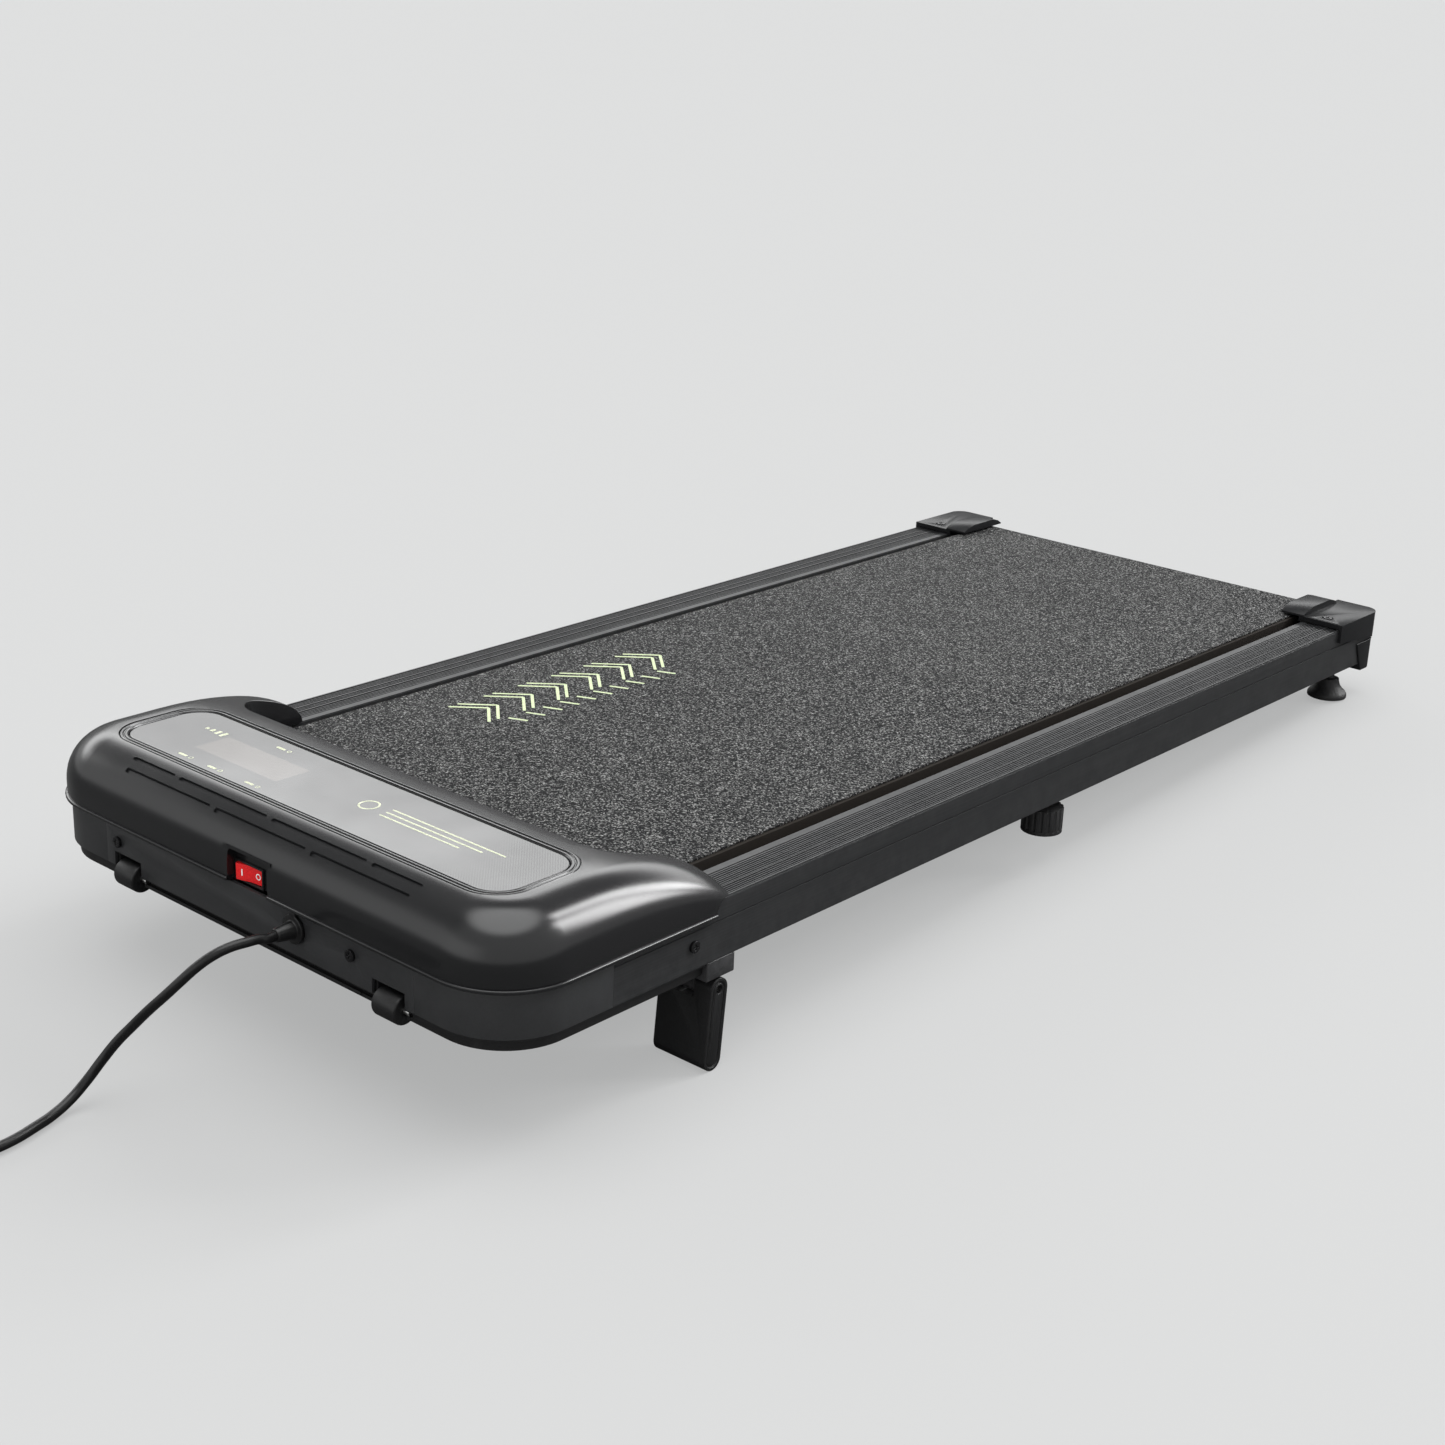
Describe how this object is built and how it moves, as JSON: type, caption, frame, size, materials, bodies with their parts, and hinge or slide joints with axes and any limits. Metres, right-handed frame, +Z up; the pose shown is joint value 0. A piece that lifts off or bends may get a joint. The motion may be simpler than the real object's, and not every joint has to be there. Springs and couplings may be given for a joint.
{
  "type": "treadmill",
  "caption": "Flat under-desk treadmill: front motor hood with a gloss display panel, walking belt between ribbed rails, folding front legs and screw feet.",
  "frame": {"origin": "on the floor, under the centre of the box of the standing machine without its cord", "axes": "+Z up; +Y from the hood towards the rear end; +X to the right as seen from in front of the hood. The machine stands tipped 3 degrees, hood up."},
  "size_m": [0.51, 1.4722, 0.1756],
  "materials": {
    "hood_plastic": "moulded satin black plastic",
    "panel_plastic": "polished black plastic",
    "lens_gloss": "high gloss smoked lens",
    "trim_plastic": "fine matte grain",
    "tray_plastic": "matte",
    "switch_black": "matte",
    "switch_red": "glossy red",
    "rail_anodised": "dark anodised, knurled strips",
    "frame_paint": "black powder coat",
    "deck_wood": "plain board, waxed",
    "belt_rubber": "speckled woven PVC belt",
    "dark_rubber": "matte",
    "steel": "turned steel",
    "motor_paint": "grey paint",
    "cast_pulley": "machined",
    "circuit_board": "green lacquer",
    "wheel_plastic": "hard matte plastic",
    "leg_plastic": "grained plastic",
    "foot_plastic": "hard rubberised plastic",
    "cap_plastic": "fine grain",
    "screw_black": "black zinc",
    "cord_rubber": "soft PVC sheath"
  },
  "bodies": {
    "machine": {"hood_shell": "hood_plastic", "panel_rim": "panel_plastic", "panel_lens": "lens_gloss", "display_board": "circuit_board", "switch_bezel": "switch_black", "front_skirt": "trim_plastic", "corner_skirt_left": "trim_plastic", "corner_skirt_right": "trim_plastic", "base_tray": "tray_plastic", "rail_left": "rail_anodised", "rail_right": "rail_anodised", "front_crossmember": "frame_paint", "middle_crossmember": "frame_paint", "rear_crossmember": "frame_paint", "deck_board": "deck_wood", "deck_cushions": "dark_rubber", "walking_belt": "belt_rubber", "drive_roller_axle": "steel", "rear_roller_axle": "steel", "rail_end_plates": "steel", "motor_housing": "motor_paint", "motor_bracket": "frame_paint", "motor_drive_belt": "dark_rubber", "controller_box": "tray_plastic", "controller_board": "circuit_board", "inner_leads": "cord_rubber", "wheel_pins": "steel", "leg_hinge_pins": "steel", "leg_brackets": "frame_paint", "rear_cap_top_left": "cap_plastic", "rear_cap_top_right": "cap_plastic", "rear_cap_lower_left": "cap_plastic", "rear_cap_lower_right": "cap_plastic", "cover_screws": "screw_black", "strain_relief": "cord_rubber", "mains_cord": "cord_rubber", "cord_coil": "cord_rubber", "cord_tie": "dark_rubber", "plug_tail": "cord_rubber", "mains_plug": "cord_rubber"},
    "drive_roller": {"drive_roller": "steel", "drive_roller_bearings": "steel", "drive_pulley": "cast_pulley"},
    "rear_roller": {"rear_roller": "steel", "rear_roller_bearings": "steel"},
    "motor_rotor": {"motor_rotor": "steel", "motor_pulley": "cast_pulley", "motor_flywheel": "steel"},
    "switch_rocker": {"switch_rocker": "switch_red"},
    "transport_wheel_left": {"transport_wheel_left": "wheel_plastic"},
    "transport_wheel_right": {"transport_wheel_right": "wheel_plastic"},
    "incline_leg_left": {"incline_leg_left": "leg_plastic"},
    "incline_leg_right": {"incline_leg_right": "leg_plastic"},
    "mid_foot_left": {"mid_foot_left": "foot_plastic"},
    "mid_foot_right": {"mid_foot_right": "foot_plastic"},
    "rear_foot_left": {"rear_foot_left": "foot_plastic"},
    "rear_foot_right": {"rear_foot_right": "foot_plastic"},
    "tension_bolt_left": {"tension_bolt_left": "steel"},
    "tension_bolt_right": {"tension_bolt_right": "steel"}
  },
  "joints": [
    {"name": "drive_roller_spin", "type": "hinge", "parent": "machine", "child": "drive_roller", "pos_m": [0, -0.45687, 0.11639], "axis": [1, 0, 0], "continuous": true},
    {"name": "rear_roller_spin", "type": "hinge", "parent": "machine", "child": "rear_roller", "pos_m": [0, 0.55974, 0.06311], "axis": [1, 0, 0], "continuous": true},
    {"name": "motor_spin", "type": "hinge", "parent": "machine", "child": "motor_rotor", "pos_m": [0, -0.52961, 0.1232], "axis": [1, 0, 0], "continuous": true},
    {"name": "switch_tip", "type": "hinge", "parent": "machine", "child": "switch_rocker", "pos_m": [-0.0045, -0.56903, 0.13528], "axis": [0, -0.0523, -0.9986], "range_deg": [0, 24]},
    {"name": "wheel_left_spin", "type": "hinge", "parent": "machine", "child": "transport_wheel_left", "pos_m": [-0.143, -0.57538, 0.09055], "axis": [1, 0, 0], "continuous": true},
    {"name": "wheel_right_spin", "type": "hinge", "parent": "machine", "child": "transport_wheel_right", "pos_m": [0.143, -0.57538, 0.09055], "axis": [1, 0, 0], "continuous": true},
    {"name": "leg_left_fold", "type": "hinge", "parent": "machine", "child": "incline_leg_left", "pos_m": [-0.2255, -0.3797, 0.06027], "axis": [1, 0, 0], "range_deg": [0, 95]},
    {"name": "leg_right_fold", "type": "hinge", "parent": "machine", "child": "incline_leg_right", "pos_m": [0.2255, -0.3797, 0.06027], "axis": [1, 0, 0], "range_deg": [0, 95]},
    {"name": "mid_foot_left_turn", "type": "hinge", "parent": "machine", "child": "mid_foot_left", "pos_m": [-0.23, 0.03988, 0.04129], "axis": [0, 0.0523, 0.9986], "continuous": true},
    {"name": "mid_foot_right_turn", "type": "hinge", "parent": "machine", "child": "mid_foot_right", "pos_m": [0.23, 0.03988, 0.04129], "axis": [0, 0.0523, 0.9986], "continuous": true},
    {"name": "rear_foot_left_turn", "type": "hinge", "parent": "machine", "child": "rear_foot_left", "pos_m": [-0.2276, 0.54199, 0.01097], "axis": [0, 0.0523, 0.9986], "continuous": true},
    {"name": "rear_foot_right_turn", "type": "hinge", "parent": "machine", "child": "rear_foot_right", "pos_m": [0.2276, 0.54199, 0.01097], "axis": [0, 0.0523, 0.9986], "continuous": true},
    {"name": "tension_bolt_left_turn", "type": "hinge", "parent": "machine", "child": "tension_bolt_left", "pos_m": [-0.2302, 0.56673, 0.06274], "axis": [0, 0.9986, -0.0523], "continuous": true},
    {"name": "tension_bolt_right_turn", "type": "hinge", "parent": "machine", "child": "tension_bolt_right", "pos_m": [0.2302, 0.56673, 0.06274], "axis": [0, 0.9986, -0.0523], "continuous": true}
  ],
  "couplings": [
    {"joint": "rear_roller_spin", "follows": "drive_roller_spin", "ratio": 1},
    {"joint": "motor_spin", "follows": "drive_roller_spin", "ratio": 3}
  ]
}
